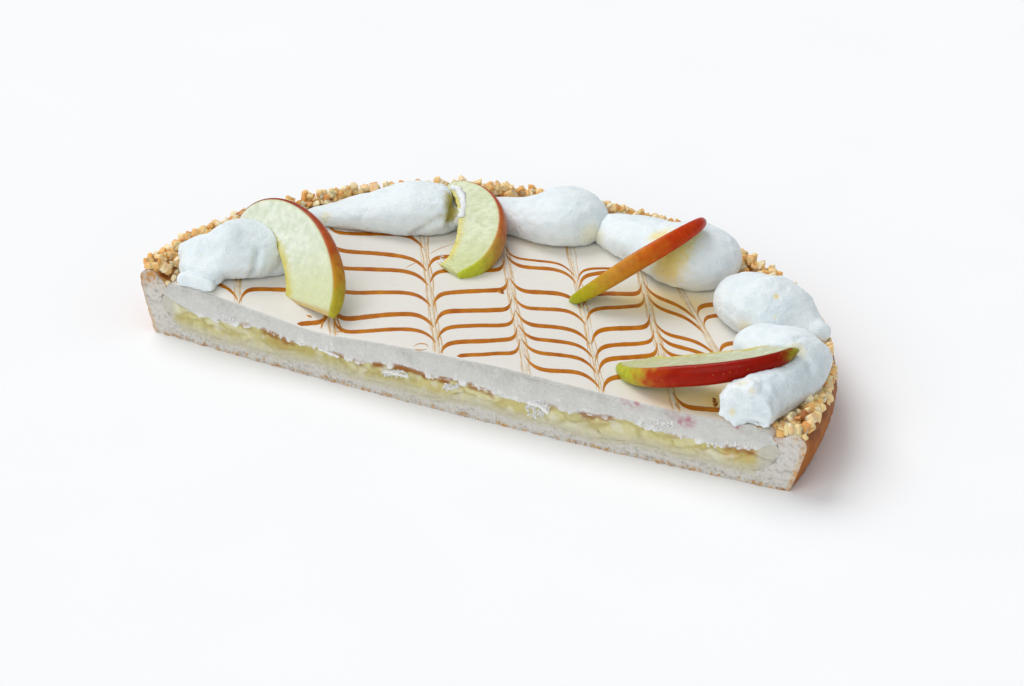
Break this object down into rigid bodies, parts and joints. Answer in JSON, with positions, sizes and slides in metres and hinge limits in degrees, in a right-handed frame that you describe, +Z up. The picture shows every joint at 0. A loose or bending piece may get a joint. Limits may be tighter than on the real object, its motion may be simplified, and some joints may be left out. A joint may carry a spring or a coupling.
{
  "type": "caramel apple flan half",
  "caption": "Half of a round shallow flan as cut: nut-topped crust rim, apple filling, feathered cream layer, piped cream and apple slices.",
  "frame": {"origin": "on the flat underside of the crust, 66 mm behind the straight line of the cut and midway along it", "axes": "+X along the cut, +Y from the cut towards the round back, +Z up"},
  "size_m": [0.2804, 0.1452, 0.0522],
  "materials": {
    "crust": "baked crust, matte and crumbly, with chopped caramelised nuts on the rim",
    "apple_filling": "moist, slightly translucent apple pieces",
    "cream_layer": "smooth satin ivory cream with feathered caramel lines",
    "whipped_cream": "matte white piped cream",
    "apple_slice": "wet pale flesh with a glossy red and green skin"
  },
  "bodies": {
    "root": {"crust": "crust", "apple_filling": "apple_filling", "cream_layer": "cream_layer", "whipped_cream_1": "whipped_cream", "whipped_cream_2": "whipped_cream", "whipped_cream_3": "whipped_cream", "whipped_cream_4": "whipped_cream", "whipped_cream_5": "whipped_cream", "whipped_cream_6": "whipped_cream", "apple_slice_1": "apple_slice", "apple_slice_2": "apple_slice", "apple_slice_3": "apple_slice", "apple_slice_4": "apple_slice"}
  },
  "joints": []
}
